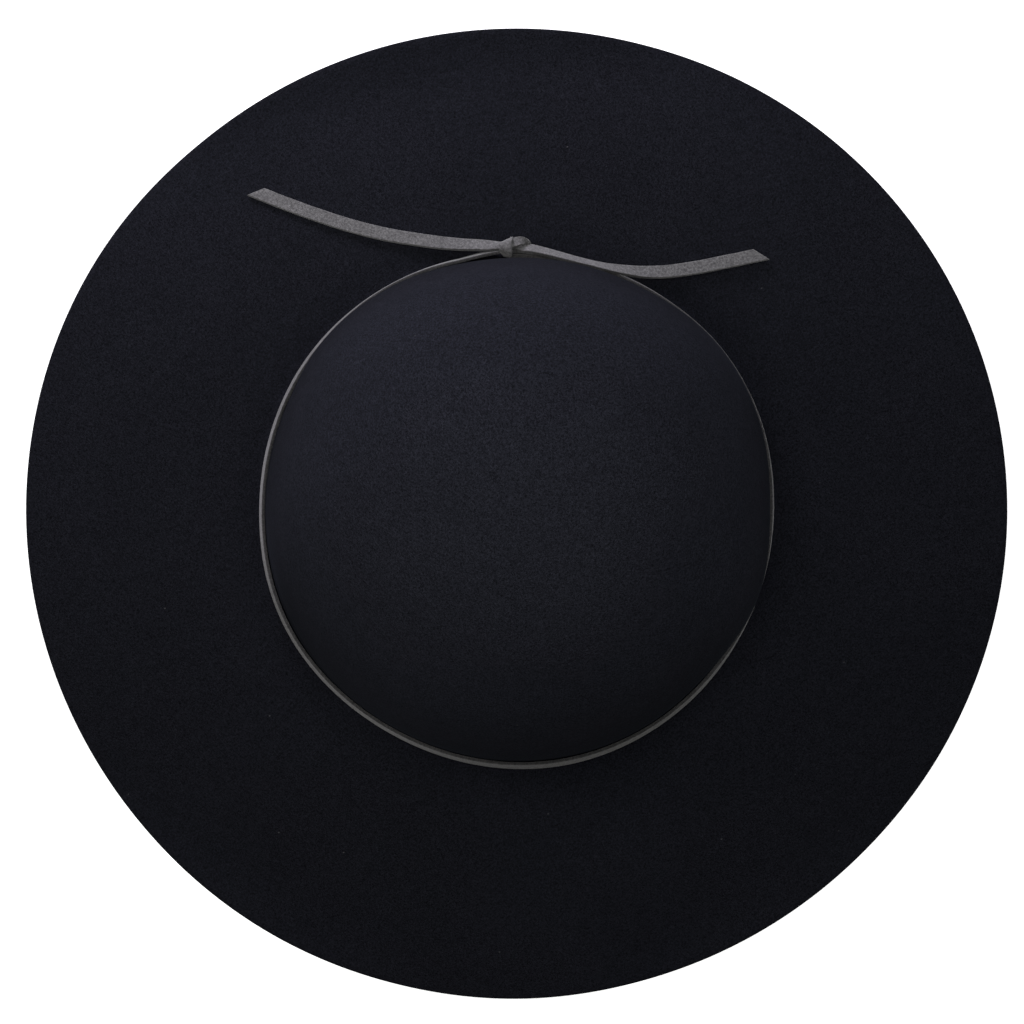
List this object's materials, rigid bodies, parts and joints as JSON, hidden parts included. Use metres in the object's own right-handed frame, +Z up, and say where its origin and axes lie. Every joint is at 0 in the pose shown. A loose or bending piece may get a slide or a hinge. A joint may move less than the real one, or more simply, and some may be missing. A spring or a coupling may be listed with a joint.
{
  "type": "floppy hat",
  "caption": "Wide-brimmed soft felt hat with a round open crown, and a flat suede lace tied round the crown's foot with two free ends on the brim.",
  "frame": {"origin": "below the middle of the brim, on the surface that the brim rests on", "axes": "+Z up out of the crown, +Y towards the back, where the lace is tied, +X to the right seen from above with the knot at the top"},
  "size_m": [0.3625, 0.3606, 0.13],
  "materials": {
    "wool_felt": "matted black-navy wool felt, brushed, raw cut edge",
    "suede_lace": "grey suede, fine mottled nap, cut edges"
  },
  "bodies": {
    "root": {"felt_body": "wool_felt", "crown_lace": "suede_lace", "lace_knot": "suede_lace", "lace_end_left": "suede_lace", "lace_end_right": "suede_lace"}
  },
  "joints": []
}
